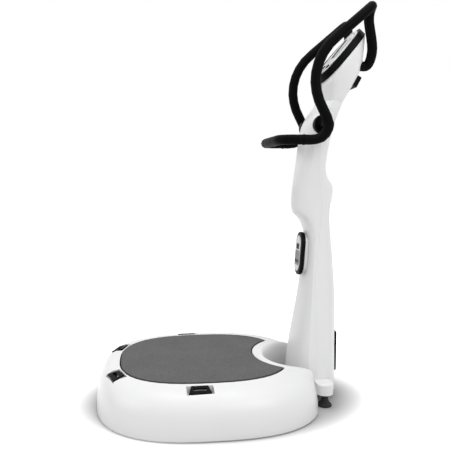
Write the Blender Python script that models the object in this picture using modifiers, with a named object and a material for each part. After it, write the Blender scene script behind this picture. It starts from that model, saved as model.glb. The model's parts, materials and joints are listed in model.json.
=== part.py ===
"""Vibration plate: a shaking platform in a white base, a column, a console and a bent handle.

Metres, +Z up. The user stands at -Y and faces +Y, X is the plane of symmetry, z = 0 is the floor.
"""
import math

import bmesh
import bpy
from mathutils import Matrix, Vector

for old in list(bpy.data.objects):
    bpy.data.objects.remove(old)

PARTS = bpy.data.collections.new("vibration_plate")
CUTTERS = bpy.data.collections.new("cutters")
for group in (PARTS, CUTTERS):
    bpy.context.scene.collection.children.link(group)

# Clearances
SEAT_GAP = 0.0003
RUN_GAP = 0.0006
MAT_GAP = 0.004
HOLE_OVERSHOOT = 0.020

# Base: a superellipse in plan, cut by a flat rear plane and by a round bite for the column
BASE_HALF_WIDTH = 0.432
BASE_HALF_DEPTH = 0.4215
BASE_CENTRE_Y = -0.103
BASE_ROUNDNESS = 2.7
BASE_TOP_Z = 0.152
BASE_BOTTOM_Z = 0.006
BASE_WALL = 0.0035
BASE_LIP = 0.003
SIDE_ROUNDNESS = 2.55
RIM_ROUNDNESS = 6.0
HORN_END_Y = 0.275
HORN_TIP = 0.009
COLUMN_Y = 0.305
BITE_RADIUS = 0.174

# Mat and deck
MAT_HALF_WIDTH = 0.299
MAT_HALF_DEPTH = 0.318
MAT_CENTRE_Y = -0.118
MAT_ROUNDNESS = 2.66
MAT_BITE_RADIUS = 0.2265
MAT_TOP_Z = 0.155
MAT_THICKNESS = 0.009
MAT_EDGE = 0.002
DECK_INSET = 0.002
DECK_THICKNESS = 0.010

# Base frame, feet and isolators
FRAME_BOTTOM_Z = 0.0220
FRAME_THICKNESS = 0.006
FRAME_CLEARANCE = 0.004
TONGUE_HALF_WIDTH = 0.080
TONGUE_REAR_Y = 0.352
FOOT_RADIUS = 0.026
FOOT_TAPER = 0.85
FOOT_EDGE = 0.002
FOOT_X = 0.270
FOOT_FRONT_Y = -0.330
FOOT_REAR_Y = 0.120
ISOLATOR_RADIUS = 0.024
ISOLATOR_WAIST = 0.017
ISOLATOR_PAD = 0.021
ISOLATOR_X = 0.215
ISOLATOR_FRONT_Y = -0.300
ISOLATOR_REAR_Y = 0.040

# Motors under the deck
MOTOR_X = 0.110
MOTOR_Y = -0.130
MOTOR_Z = 0.084
MOTOR_RADIUS = 0.040
MOTOR_LENGTH = 0.190
MOTOR_NECK = 0.65
MOTOR_TAPER = 0.019
MOTOR_FOOT_HALF_WIDTH = 0.050
SHAFT_RADIUS = 0.009
WEIGHT_RADIUS = 0.034
WEIGHT_THICKNESS = 0.022
WEIGHT_BOSS = 0.015
WEIGHT_ARC_STEPS = 12
BOSS_ARC_STEPS = 6

# Strap anchors and their pockets
POCKET_LENGTH = 0.092
POCKET_WIDTH = 0.052
POCKET_FLOOR_Z = 0.126
POCKET_WALL = 0.004
ANCHOR_LONG = 0.080
ANCHOR_SHORT = 0.058
ANCHOR_WIDTH = 0.044
ANCHOR_THICKNESS = 0.006
ANCHOR_EDGE = 0.002
ANCHOR_SLOT_LENGTH = 0.044
ANCHOR_SLOT_WIDTH = 0.012
ANCHOR_RISE = 0.017
ANCHOR_TILT = math.radians(16)
SIDE_ANCHOR = (0.345, -0.158, 90.0)
FRONT_ANCHOR = (0.165, -0.445, 20.0)

# Column: height, front, parting line, rear, half width, front and rear roundness of each station
SHELL_WALL = 0.003
STATIONS = (
    (0.035, 0.226, 0.305, 0.398, 0.150, 2.8, 2.8),
    (0.115, 0.231, 0.305, 0.399, 0.142, 2.8, 2.8),
    (0.200, 0.240, 0.305, 0.400, 0.131, 2.8, 2.8),
    (0.350, 0.266, 0.305, 0.405, 0.110, 2.6, 2.6),
    (0.480, 0.283, 0.308, 0.400, 0.094, 2.3, 2.4),
    (0.600, 0.290, 0.322, 0.390, 0.082, 2.3, 2.2),
    (0.645, 0.286, 0.327, 0.385, 0.078, 2.3, 2.2),
    (0.690, 0.265, 0.331, 0.382, 0.075, 2.3, 2.2),
    (0.715, 0.240, 0.335, 0.382, 0.074, 2.3, 2.2),
    (0.745, 0.234, 0.335, 0.385, 0.074, 2.3, 2.2),
    (0.805, 0.238, 0.329, 0.394, 0.078, 2.4, 2.2),
    (0.828, 0.242, 0.324, 0.386, 0.081, 2.5, 2.3),
    (0.860, 0.248, 0.318, 0.362, 0.086, 2.7, 2.6),
    (0.905, 0.256, 0.318, 0.355, 0.092, 2.9, 2.8),
    (0.990, 0.269, 0.320, 0.368, 0.102, 3.0, 3.0),
    (1.050, 0.281, 0.327, 0.384, 0.107, 2.8, 3.0),
    (1.095, 0.304, 0.344, 0.400, 0.104, 2.6, 2.8),
    (1.140, 0.334, 0.372, 0.420, 0.098, 2.4, 2.6),
)
RINGS_PER_STATION = 2
HALF_RING_POINTS = 11

# Foot bar, its cover and the levelling feet
COVER_HALF_WIDTH = 0.215
COVER_FRONT_Y = 0.289
COVER_REAR_Y = 0.353
COVER_BOTTOM_Z = 0.050
COVER_TOP_Z = 0.090
COVER_WALL = 0.003
COVER_EDGE = 0.004
COVER_EDGE_STEPS = 3
COVER_CORNER = 0.030
BAR_FRONT_Y = 0.2945
BAR_REAR_Y = 0.3475
BAR_HALF_WIDTH = 0.200
BAR_CORNER = 0.020
BAR_HEIGHT = 0.030
LEVELLER_X = 0.178
LEVELLER_Y = 0.324
LEVELLER_RADIUS = 0.0225
LEVELLER_NECK = 0.0155
LEVELLER_HEIGHT = 0.049
STUD_RADIUS = 0.006
STUD_DEPTH = 0.020

# Mast inside the column
MAST_FRONT_Y = 0.303
MAST_DEPTH = 0.034
MAST_HALF_WIDTH = 0.048
MAST_TOP_Z = 1.020
MAST_WALL = 0.004

# Handle hubs
HUB_Y = 0.327
HUB_Z = 1.049
HUB_RADIUS = 0.038
HUB_INNER_X = 0.088
HUB_OUTER_X = 0.115
HUB_DISH = 0.012
HUB_RIM = 0.005
HUB_EDGE = 0.001
STANDOFF_RADIUS = 0.010
STANDOFF_Y = 0.3235
BRACKET_HEIGHT = 0.044
BRACKET_DEPTH = 0.026

# Handle tube
TUBE_RADIUS = 0.017
TUBE_X = 0.168
TUBE_JOINT_Y = 0.235
TUBE_RUN_Z = 0.990
TUBE_FRONT_Y = 0.153
TUBE_CORNER = 0.050
CORNER_STEPS = 6
LEG_X = 0.113
LEG_END_X = 0.080
LEG_END_Z = 1.270
LEG_END_Y = (0.493, 0.479, 0.457)
ARM_POINTS = (
    (TUBE_X, 0.247, TUBE_RUN_Z),
    (TUBE_X, 0.262, TUBE_RUN_Z),
    (TUBE_X, 0.300, 0.998),
    (TUBE_X, 0.325, 1.030),
    (TUBE_X, 0.320, 1.070),
    (TUBE_X, 0.290, 1.130),
    (TUBE_X, 0.276, 1.195),
    (TUBE_X, 0.287, 1.265),
    (TUBE_X, 0.325, 1.330),
    (TUBE_X, 0.396, 1.394),
    (TUBE_X, 0.450, 1.440),
    (0.159, 0.480, 1.466),
    (0.140, 0.490, 1.471),
    (0.121, 0.490, 1.455),
    (LEG_X, 0.491, 1.425),
    (LEG_X, 0.501, 1.370),
    (0.110, 0.507, 1.330),
    (0.100, 0.507, 1.300),
    (0.087, 0.503, 1.279),
)
ARM_STEPS = 2

# Head: rings from the neck up to the tilted console plane, each with its front and rear point
TILT = math.radians(49.9)
CONSOLE_Y = 0.3142
CONSOLE_Z = 1.1789
CONSOLE_LOW = 0.046
CONSOLE_HIGH = 0.292
CONSOLE_HALF_WIDTH = 0.118
CONSOLE_ROUNDNESS = 2.6
HEAD_ROUNDNESS = 3.6
CONSOLE_POINTS = 32
NECK_FRONT = (0.335, 1.1403)
NECK_REAR = (0.419, 1.1403)
NECK_HALF_WIDTH = 0.097
HEAD_FRONT = (0.338, 1.180)
HEAD_REAR = (0.478, 1.252)
HEAD_HALF_WIDTH = 0.110
CROWN_FRONT = (0.338, 1.203)
CROWN_REAR = (0.491, 1.330)
CROWN_HALF_WIDTH = 0.117
CAVITY_HALF_WIDTH = 0.078
CAVITY_LOW = 0.085
CAVITY_HIGH = 0.235
CAVITY_DEPTH = 0.024
BOARD_LEDGE = 0.012
BOARD_DEPTH = 0.010
BOARD_THICKNESS = 0.002

# Console bezel, face, screen and buttons, in the console plane
BEZEL_HEIGHT = 0.027
BEZEL_RIM = 0.012
BEZEL_LEDGE = 0.008
LEDGE_HEIGHT = 0.008
FACE_EDGE_HEIGHT = 0.022
FACE_CROWN = 0.011
SCREEN_HALF_WIDTH = 0.062
SCREEN_LOW = 0.140
SCREEN_HIGH = 0.236
SCREEN_DEPTH = 0.006
SCREEN_PROUD = 0.0008
BUTTON_RADIUS = 0.009
BUTTON_PROUD = 0.0022
BUTTON_FLANGE = 0.002
BUTTON_EDGE = 0.001
BUTTON_FLANGE_HEIGHT = 0.003
BUTTON_PITCH = 0.038
BUTTON_COUNT = 4
BUTTON_ROW = 0.095

# Remote on the column's front, in its own tilted plane
REMOTE_Y = 0.262
REMOTE_Z = 0.554
REMOTE_TILT = math.radians(-4)
REMOTE_HALF_WIDTH = 0.048
REMOTE_HALF_HEIGHT = 0.085
REMOTE_CORNER = 0.046
REMOTE_CORNER_STEPS = 7
REMOTE_DEPTH = 0.016
REMOTE_EDGE = 0.004
REMOTE_RIM = 0.014
REMOTE_FLOOR = 0.003
REMOTE_FACE_PROUD = 0.003
REMOTE_FACE_EDGE = 0.0015
REMOTE_TRAVEL = 0.002
REMOTE_WALL = 0.005
REMOTE_BUTTON_PROUD = 0.001
CRADLE_INSET = 0.006
CRADLE_DEPTH = 0.017
REMOTE_BUTTON_RADIUS = 0.0072
REMOTE_BUTTON_DROP = 0.030
REMOTE_BUTTON_PITCH = 0.019
REMOTE_BUTTON_COUNT = 3

# Rear of the machine
INLET_HALF_WIDTH = 0.052
INLET_LOW_Z = 0.088
INLET_HIGH_Z = 0.246
INLET_PROUD = 0.008
INLET_DEPTH = 0.022
INLET_CORNER = 0.008
SOCKET_Z = 0.130
SOCKET_HALF_WIDTH = 0.024
SOCKET_HALF_HEIGHT = 0.016
SOCKET_DEPTH = 0.020
SOCKET_WALL = 0.003
SWITCH_Z = 0.204
SWITCH_HALF_WIDTH = 0.011
SWITCH_HALF_HEIGHT = 0.016
SWITCH_DEPTH = 0.014
SWITCH_SINK = 0.003
SWITCH_CREST = 0.004
SWITCH_DIP = 0.0025
SWITCH_SIDE = 0.002
SWITCH_KEEL = 0.004
SWITCH_BELLY = 0.008
SWITCH_TILT = math.radians(7)
SERVICE_LOW = 0.072
SERVICE_HIGH = 0.116
SERVICE_PROUD = 0.020
SERVICE_SUNK = 0.016
SERVICE_HALF_WIDTH = 0.055
SERVICE_EDGE = 0.003
CONTROLLER_HALF_WIDTH = 0.060
CONTROLLER_LOW_Z = 0.290
CONTROLLER_HIGH_Z = 0.450
CONTROLLER_DEPTH = 0.040
CONTROLLER_EDGE = 0.004

# Conduit between the column and the base
CONDUIT_RADIUS = 0.009
CONDUIT_X = 0.072
CONDUIT_START = (0.118, 0.138)
CONDUIT_END = (0.272, 0.072)


def material(name, colour, roughness, metallic=0.0):
    mat = bpy.data.materials.new(name)
    mat.use_nodes = True
    shader = mat.node_tree.nodes["Principled BSDF"]
    shader.inputs["Base Color"].default_value = (*colour, 1.0)
    shader.inputs["Roughness"].default_value = roughness
    shader.inputs["Metallic"].default_value = metallic
    return mat


WHITE = material("white_gloss", (0.84, 0.84, 0.85), 0.25)
BLACK = material("black_plastic", (0.02, 0.02, 0.022), 0.45)
RUBBER = material("black_rubber", (0.03, 0.03, 0.03), 0.8)
MAT = material("grey_mat", (0.14, 0.14, 0.145), 0.85)
STEEL = material("painted_steel", (0.25, 0.26, 0.27), 0.45, 0.8)
SILVER = material("silver_face", (0.62, 0.63, 0.66), 0.35, 0.2)
GLASS = material("screen_glass", (0.05, 0.06, 0.07), 0.1)
FOAM = material("handle_foam", (0.025, 0.025, 0.027), 0.6)
GREEN = material("circuit_board", (0.04, 0.18, 0.07), 0.5)


def add(name, mesh, mat, parent=None, smooth=40.0):
    """Put a finished mesh in the model as a sub-part."""
    mesh.materials.append(mat)
    mesh.shade_smooth()
    mesh.set_sharp_from_angle(angle=math.radians(smooth))
    obj = bpy.data.objects.new(name, mesh)
    PARTS.objects.link(obj)
    obj.parent = parent
    return obj


def add_cutter(name, mesh, parent=None):
    obj = bpy.data.objects.new(name, mesh)
    CUTTERS.objects.link(obj)
    obj.parent = parent
    obj.hide_render = True
    obj.display_type = "WIRE"
    return obj


def boolean(obj, other, operation="DIFFERENCE"):
    mod = obj.modifiers.new(other.name, "BOOLEAN")
    mod.operation = operation
    mod.solver = "EXACT"
    mod.object = other


def empty(name, location, rotation=(0, 0, 0)):
    obj = bpy.data.objects.new(name, None)
    PARTS.objects.link(obj)
    obj.location = location
    obj.rotation_euler = rotation
    return obj


def finish_mesh(name, bm):
    bmesh.ops.recalc_face_normals(bm, faces=bm.faces)
    mesh = bpy.data.meshes.new(name)
    bm.to_mesh(mesh)
    bm.free()
    return mesh


def loft(name, rings):
    """Skin a list of closed rings with the same number of points and cap both ends."""
    bm = bmesh.new()
    levels = [[bm.verts.new(p) for p in ring] for ring in rings]
    for low, high in zip(levels, levels[1:]):
        for i in range(len(low)):
            j = (i + 1) % len(low)
            bm.faces.new((low[i], low[j], high[j], high[i]))
    bm.faces.new(levels[0])
    bm.faces.new(levels[-1])
    return finish_mesh(name, bm)


def prism(name, outline, low, high, axis="Z"):
    """Extrude a plan outline along Z, or a side outline (Y, Z) along X."""
    if axis == "Z":
        rings = [[(x, y, level) for x, y in outline] for level in (low, high)]
    else:
        rings = [[(level, y, z) for y, z in outline] for level in (low, high)]
    return loft(name, rings)


def box(name, low, high):
    bm = bmesh.new()
    low, high = Vector(low), Vector(high)
    size = Matrix.Diagonal((*(high - low), 1.0))
    bmesh.ops.create_cube(bm, size=1.0, matrix=Matrix.Translation((low + high) / 2) @ size)
    return finish_mesh(name, bm)


def cylinder(name, radius, low, high, centre=(0, 0), axis="Z", segments=16):
    """A cylinder from low to high along an axis; centre holds the other two coordinates."""
    turn = {"Z": Matrix(), "X": Matrix.Rotation(math.pi / 2, 4, "Y"),
            "Y": Matrix.Rotation(-math.pi / 2, 4, "X")}[axis]
    middle = (low + high) / 2
    place = {"Z": (*centre, middle), "X": (middle, *centre), "Y": (centre[0], middle, centre[1])}[axis]
    bm = bmesh.new()
    bmesh.ops.create_cone(bm, cap_ends=True, segments=segments, radius1=radius, radius2=radius,
                          depth=high - low, matrix=Matrix.Translation(place) @ turn)
    return finish_mesh(name, bm)


def turned(name, profile, mat, parent=None, steps=16):
    """Turn a profile of (radius, height) about the local Z axis with a Screw modifier."""
    mesh = bpy.data.meshes.new(name)
    count = len(profile)
    closed = profile[0][0] > 0
    edges = [(i, i + 1) for i in range(count - 1)]
    if closed:
        edges.append((count - 1, 0))
    mesh.from_pydata([(r, 0.0, h) for r, h in profile], edges, [])
    obj = bpy.data.objects.new(name, mesh)
    mesh.materials.append(mat)
    PARTS.objects.link(obj)
    obj.parent = parent
    screw = obj.modifiers.new("turn", "SCREW")
    screw.steps = steps
    screw.render_steps = steps
    screw.use_merge_vertices = True
    screw.merge_threshold = 0.00001
    screw.use_smooth_shade = True
    return obj


def bevel(obj, width, segments=2, angle=40.0):
    mod = obj.modifiers.new("edges", "BEVEL")
    mod.width = width
    mod.segments = segments
    mod.limit_method = "ANGLE"
    mod.angle_limit = math.radians(angle)


def rounded_rectangle(half_width, low, high, corner, steps=4):
    """Plan outline of a rectangle with round corners, counter-clockwise."""
    points = []
    centres = ((half_width, high, 0), (-half_width, high, 90),
               (-half_width, low, 180), (half_width, low, 270))
    for x, y, start in centres:
        cx = x - math.copysign(corner, x)
        cy = y - corner if y == high else y + corner
        for k in range(steps + 1):
            angle = math.radians(start + 90.0 * k / steps)
            points.append((cx + corner * math.cos(angle), cy + corner * math.sin(angle)))
    return points


def lerp(a, b, t):
    return a + (b - a) * t


def smooth_path(points, steps):
    """Catmull-Rom curve through the points, with steps pieces between two of them."""
    pts = [Vector(p) for p in points]
    pts = [2 * pts[0] - pts[1]] + pts + [2 * pts[-1] - pts[-2]]
    path = []
    for a, b, c, d in zip(pts, pts[1:], pts[2:], pts[3:]):
        for k in range(steps):
            t = k / steps
            path.append(0.5 * (2 * b + (c - a) * t + (2 * a - 5 * b + 4 * c - d) * t ** 2
                               + (3 * b - a - 3 * c + d) * t ** 3))
    path.append(pts[-2])
    return path


def tube(name, points, radius, mat, resolution=2):
    """A bent tube: a poly curve with a round bevel and filled ends."""
    curve = bpy.data.curves.new(name, "CURVE")
    curve.dimensions = "3D"
    curve.bevel_depth = radius
    curve.bevel_resolution = resolution
    curve.use_fill_caps = True
    spline = curve.splines.new("POLY")
    spline.points.add(len(points) - 1)
    for point, place in zip(spline.points, points):
        point.co = (*place, 1.0)
    curve.materials.append(mat)
    obj = bpy.data.objects.new(name, curve)
    PARTS.objects.link(obj)
    return obj


def plate_ring(half_width, half_depth, centre_y, roundness, bite, rear, z_outer, z_bite, tip=HORN_TIP):
    """Plan ring of the base and the mat: superellipse, two flat horn ends and the bite arc."""
    def outer_x(y):
        share = min(1.0, abs((y - centre_y) / half_depth))
        return half_width * (1.0 - share ** roundness) ** (1.0 / roundness)

    def bite_x(y):
        return math.sqrt(max(0.0, bite ** 2 - (y - COLUMN_Y) ** 2))

    low, end = COLUMN_Y - bite, rear
    if outer_x(end) - bite_x(end) < tip:
        for _ in range(40):
            middle = (low + end) / 2
            if outer_x(middle) - bite_x(middle) < tip:
                end = middle
            else:
                low = middle
        end = low
    points = []
    start = math.asin(((end - centre_y) / half_depth) ** (roundness / 2))
    for k in range(OUTER_POINTS):
        t = lerp(start, -math.pi - start, k / (OUTER_POINTS - 1))
        c, s = math.cos(t), math.sin(t)
        x = half_width * math.copysign(abs(c) ** (2 / roundness), c)
        y = centre_y + half_depth * math.copysign(abs(s) ** (2 / roundness), s)
        points.append((x, y, z_outer))
    outer, inner = outer_x(end), bite_x(end)
    half_angle = math.asin(inner / bite)
    points.append((-lerp(outer, inner, 0.5), end, lerp(z_outer, z_bite, 0.5)))
    for k in range(BITE_POINTS):
        a = lerp(-half_angle, half_angle, k / (BITE_POINTS - 1))
        points.append((bite * math.sin(a), COLUMN_Y - bite * math.cos(a), z_bite))
    points.append((lerp(outer, inner, 0.5), end, lerp(z_outer, z_bite, 0.5)))
    return points


OUTER_POINTS = 43
BITE_POINTS = 15
SIDE_RINGS = 7


def base_rings(inset, open_gap, top, bottom):
    """Rings of the base's rounded side, from the floor up to the mat opening."""
    rings = []
    for k in range(SIDE_RINGS + 1):
        t = k / SIDE_RINGS * math.pi / 2
        side_in = 1.0 - max(0.0, math.cos(t)) ** (2 / SIDE_ROUNDNESS)
        side_up = math.sin(t) ** (2 / SIDE_ROUNDNESS)
        rim_in = 1.0 - max(0.0, math.cos(t)) ** (2 / RIM_ROUNDNESS)
        rim_up = math.sin(t) ** (2 / RIM_ROUNDNESS)
        rings.append(plate_ring(
            lerp(BASE_HALF_WIDTH - inset, MAT_HALF_WIDTH + open_gap, side_in),
            lerp(BASE_HALF_DEPTH - inset, MAT_HALF_DEPTH + open_gap, side_in),
            lerp(BASE_CENTRE_Y, MAT_CENTRE_Y, side_in),
            lerp(BASE_ROUNDNESS, MAT_ROUNDNESS, side_in),
            lerp(BITE_RADIUS + inset, MAT_BITE_RADIUS - open_gap, rim_in),
            HORN_END_Y - inset,
            lerp(bottom, top, side_up), lerp(bottom, top, rim_up), HORN_TIP + 2 * (BASE_LIP - inset)))
    return rings


def raised(ring, z):
    return [(x, y, z) for x, y, _ in ring]


def anchor_places():
    """Name, place and heading of the four strap anchors."""
    places = []
    for label, (x, y, heading) in (("side", SIDE_ANCHOR), ("front", FRONT_ANCHOR)):
        for side, sign in (("right", 1), ("left", -1)):
            places.append((f"{label}_{side}", sign * x, y, math.radians(sign * heading)))
    return places


def make_base():
    outer = base_rings(0.0, MAT_GAP + BASE_LIP, BASE_TOP_Z, BASE_BOTTOM_Z)
    shell = add("base_shell", loft("base_shell", outer), WHITE, smooth=50.0)
    inner = base_rings(BASE_WALL, MAT_GAP, BASE_TOP_Z - BASE_WALL, BASE_BOTTOM_Z)
    inner = [raised(inner[0], -BASE_BOTTOM_Z)] + inner + [raised(inner[-1], BASE_TOP_Z + BASE_BOTTOM_Z)]
    cavity = add_cutter("base_cavity", loft("base_cavity", inner))
    for name, x, y, heading in anchor_places():
        place = Matrix.Translation((x, y, 0)) @ Matrix.Rotation(heading, 4, "Z")
        half_l, half_w = POCKET_LENGTH / 2, POCKET_WIDTH / 2
        block = box(f"block_{name}",
                    (-half_l - POCKET_WALL, -half_w - POCKET_WALL, POCKET_FLOOR_Z - POCKET_WALL),
                    (half_l + POCKET_WALL, half_w + POCKET_WALL, BASE_TOP_Z + POCKET_WIDTH))
        block.transform(place)
        boolean(cavity, add_cutter(f"block_{name}", block))
    boolean(shell, cavity)
    for name, x, y, heading in anchor_places():
        place = Matrix.Translation((x, y, 0)) @ Matrix.Rotation(heading, 4, "Z")
        half_l, half_w = POCKET_LENGTH / 2, POCKET_WIDTH / 2
        pocket = box(f"pocket_{name}", (-half_l, -half_w, POCKET_FLOOR_Z),
                     (half_l, half_w, BASE_TOP_Z + POCKET_WIDTH))
        pocket.transform(place)
        boolean(shell, add_cutter(f"pocket_{name}", pocket))
        make_anchor(name, place)
    notch = box("tongue_notch", (-TONGUE_HALF_WIDTH - RUN_GAP, 0.0, -BASE_BOTTOM_Z),
                (TONGUE_HALF_WIDTH + RUN_GAP, COLUMN_Y, FRAME_BOTTOM_Z + FRAME_THICKNESS + RUN_GAP))
    boolean(shell, add_cutter("tongue_notch", notch))
    boolean(shell, make_conduit())


def make_conduit():
    """Black conduit from the base down into the column's foot; gives back the cutter for its holes."""
    run = Vector(CONDUIT_END) - Vector(CONDUIT_START)
    axis = empty("conduit_axis", (CONDUIT_X, *CONDUIT_START), (-math.atan2(run.x, run.y), 0, 0))
    add("motor_conduit", cylinder("motor_conduit", CONDUIT_RADIUS, 0.0, run.length), RUBBER, axis)
    hole = cylinder("conduit_hole", CONDUIT_RADIUS + SEAT_GAP, -CONDUIT_RADIUS, run.length, segments=24)
    return add_cutter("conduit_hole", hole, axis)


def make_anchor(name, place):
    """A tilted trapezoid plate with a strap slot, on two legs that stand on the pocket's floor."""
    half = ANCHOR_WIDTH / 2
    outline = [(-ANCHOR_LONG / 2, -half), (ANCHOR_LONG / 2, -half),
               (ANCHOR_SHORT / 2, half), (-ANCHOR_SHORT / 2, half)]
    centre = POCKET_FLOOR_Z + ANCHOR_RISE
    tilt = Matrix.Translation((0, 0, centre)) @ Matrix.Rotation(ANCHOR_TILT, 4, "X")
    plate_mesh = prism(f"strap_anchor_{name}", outline, 0.0, ANCHOR_THICKNESS)
    plate_mesh.transform(place @ tilt)
    plate = add(f"strap_anchor_{name}", plate_mesh, BLACK)
    bevel(plate, ANCHOR_EDGE)
    slot = box(f"slot_{name}", (-ANCHOR_SLOT_LENGTH / 2, -ANCHOR_SLOT_WIDTH / 2, -ANCHOR_RISE),
               (ANCHOR_SLOT_LENGTH / 2, ANCHOR_SLOT_WIDTH / 2, 2 * ANCHOR_THICKNESS))
    slot.transform(place @ tilt)
    legs = [(-1, f"leg_a_{name}"), (1, f"leg_b_{name}")]
    for sign, leg_name in legs:
        inner, outer = ANCHOR_SLOT_LENGTH / 2, ANCHOR_SHORT / 2
        low_x, high_x = (inner, outer) if sign > 0 else (-outer, -inner)
        leg = box(leg_name, (low_x, -half / 2, POCKET_FLOOR_Z + SEAT_GAP),
                  (high_x, half / 2, centre + ANCHOR_THICKNESS / 2))
        leg.transform(place)
        boolean(plate, add_cutter(leg_name, leg), "UNION")
    boolean(plate, add_cutter(f"slot_{name}", slot))


def make_platform():
    """The mat, the deck below it, the motors and their shafts with eccentric weights."""
    def plan(inset, z):
        return plate_ring(MAT_HALF_WIDTH - inset, MAT_HALF_DEPTH - inset, MAT_CENTRE_Y, MAT_ROUNDNESS,
                          MAT_BITE_RADIUS + inset, HORN_END_Y, z, z)

    mat_bottom = MAT_TOP_Z - MAT_THICKNESS
    rings = [plan(0.0, mat_bottom), plan(0.0, MAT_TOP_Z - MAT_EDGE), plan(MAT_EDGE, MAT_TOP_Z)]
    add("mat", loft("mat", rings), MAT)
    deck_top = mat_bottom - SEAT_GAP
    deck_bottom = deck_top - DECK_THICKNESS
    add("deck", loft("deck", [plan(DECK_INSET, deck_bottom), plan(DECK_INSET, deck_top)]), STEEL)
    for side, sign in (("right", 1), ("left", -1)):
        make_motor(side, sign * MOTOR_X, deck_bottom)
    pad_low = FRAME_BOTTOM_Z + FRAME_THICKNESS + SEAT_GAP
    pad_high = deck_bottom - SEAT_GAP
    for row, y in (("front", ISOLATOR_FRONT_Y), ("rear", ISOLATOR_REAR_Y)):
        for side, sign in (("right", 1), ("left", -1)):
            height = pad_high - pad_low
            profile = [(0, height), (ISOLATOR_RADIUS, height), (ISOLATOR_RADIUS, height - ISOLATOR_PAD),
                       (ISOLATOR_WAIST, height / 2), (ISOLATOR_RADIUS, ISOLATOR_PAD),
                       (ISOLATOR_RADIUS, 0), (0, 0)]
            pad = turned(f"isolator_{row}_{side}", profile, RUBBER, steps=12)
            pad.location = (sign * ISOLATOR_X, y, pad_low)


def make_motor(side, x, deck_bottom):
    axis = empty(f"motor_axis_{side}", (x, MOTOR_Y, MOTOR_Z), (math.pi / 2, 0, 0))
    half = MOTOR_LENGTH / 2
    neck = MOTOR_RADIUS * MOTOR_NECK
    barrel = half - MOTOR_TAPER
    bore = SHAFT_RADIUS + SEAT_GAP
    profile = [(bore, half), (neck, half), (MOTOR_RADIUS, barrel), (MOTOR_RADIUS, -barrel),
               (neck, -half), (bore, -half)]
    body = turned(f"motor_housing_{side}", profile, STEEL, axis)
    foot_half = barrel - MOTOR_TAPER / 2
    foot = box(f"motor_foot_{side}",
               (x - MOTOR_FOOT_HALF_WIDTH, MOTOR_Y - foot_half, MOTOR_Z + MOTOR_RADIUS * MOTOR_NECK),
               (x + MOTOR_FOOT_HALF_WIDTH, MOTOR_Y + foot_half, deck_bottom - SEAT_GAP))
    boolean(body, add_cutter(f"motor_foot_{side}", foot), "UNION")
    reach = half + 2 * SEAT_GAP + WEIGHT_THICKNESS
    shaft_profile = [(0, reach), (SHAFT_RADIUS, reach), (SHAFT_RADIUS, -reach), (0, -reach)]
    turned(f"motor_shaft_{side}", shaft_profile, STEEL, axis, steps=12)
    for end, sign in (("front", 1), ("rear", -1)):
        outline = []
        for k in range(WEIGHT_ARC_STEPS + 1):
            angle = math.pi + math.pi * k / WEIGHT_ARC_STEPS
            outline.append((WEIGHT_RADIUS * math.cos(angle), WEIGHT_RADIUS * math.sin(angle)))
        for k in range(BOSS_ARC_STEPS + 1):
            angle = math.pi * k / BOSS_ARC_STEPS
            outline.append((WEIGHT_BOSS * math.cos(angle), WEIGHT_BOSS * math.sin(angle)))
        near = half + SEAT_GAP
        low, high = (near, near + WEIGHT_THICKNESS) if sign > 0 else (-near - WEIGHT_THICKNESS, -near)
        mesh = prism(f"eccentric_weight_{end}_{side}", outline, low, high)
        weight = add(f"eccentric_weight_{end}_{side}", mesh, STEEL, axis)
        bore_name = f"weight_bore_{end}_{side}"
        hole = cylinder(bore_name, SHAFT_RADIUS + SEAT_GAP, low - SHAFT_RADIUS, high + SHAFT_RADIUS)
        boolean(weight, add_cutter(bore_name, hole, axis))


def make_frame():
    """The steel bottom plate inside the base shell, with the tongue under the column, and its rubber feet."""
    inset = BASE_WALL + FRAME_CLEARANCE
    levels = (FRAME_BOTTOM_Z, FRAME_BOTTOM_Z + FRAME_THICKNESS)
    rings = [plate_ring(BASE_HALF_WIDTH - inset, BASE_HALF_DEPTH - inset, BASE_CENTRE_Y, BASE_ROUNDNESS,
                        BITE_RADIUS + inset, HORN_END_Y - inset, z, z) for z in levels]
    frame = add("base_frame", loft("base_frame", rings), STEEL)
    tongue = box("frame_tongue", (-TONGUE_HALF_WIDTH, MAT_CENTRE_Y, levels[0]),
                 (TONGUE_HALF_WIDTH, TONGUE_REAR_Y, levels[1]))
    boolean(frame, add_cutter("frame_tongue", tongue), "UNION")
    top = FRAME_BOTTOM_Z - SEAT_GAP
    for row, y in (("front", FOOT_FRONT_Y), ("rear", FOOT_REAR_Y)):
        for side, sign in (("right", 1), ("left", -1)):
            profile = [(0, top), (FOOT_RADIUS * FOOT_TAPER, top), (FOOT_RADIUS, FOOT_EDGE),
                       (FOOT_RADIUS - FOOT_EDGE, 0), (0, 0)]
            foot = turned(f"base_foot_{row}_{side}", profile, RUBBER, steps=16)
            foot.location = (sign * FOOT_X, y, 0)


def column_sections():
    """Stations of the column with smooth ones between them."""
    rows = [list(STATIONS[0])] + [list(s) for s in STATIONS] + [list(STATIONS[-1])]
    rows[0] = [2 * a - b for a, b in zip(STATIONS[0], STATIONS[1])]
    rows[-1] = [2 * a - b for a, b in zip(STATIONS[-1], STATIONS[-2])]
    sections = []
    for a, b, c, d in zip(rows, rows[1:], rows[2:], rows[3:]):
        for k in range(RINGS_PER_STATION):
            t = k / RINGS_PER_STATION
            z = lerp(b[0], c[0], t)
            row = [z]
            for i in range(1, 7):
                span = c[0] - b[0]
                slope_b = (c[i] - a[i]) / (c[0] - a[0])
                slope_c = (d[i] - b[i]) / (d[0] - b[0])
                row.append((2 * t ** 3 - 3 * t ** 2 + 1) * b[i] + (t ** 3 - 2 * t ** 2 + t) * span * slope_b
                           + (3 * t ** 2 - 2 * t ** 3) * c[i] + (t ** 3 - t ** 2) * span * slope_c)
            sections.append(row)
    sections.append(list(STATIONS[-1]))
    return sections


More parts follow.
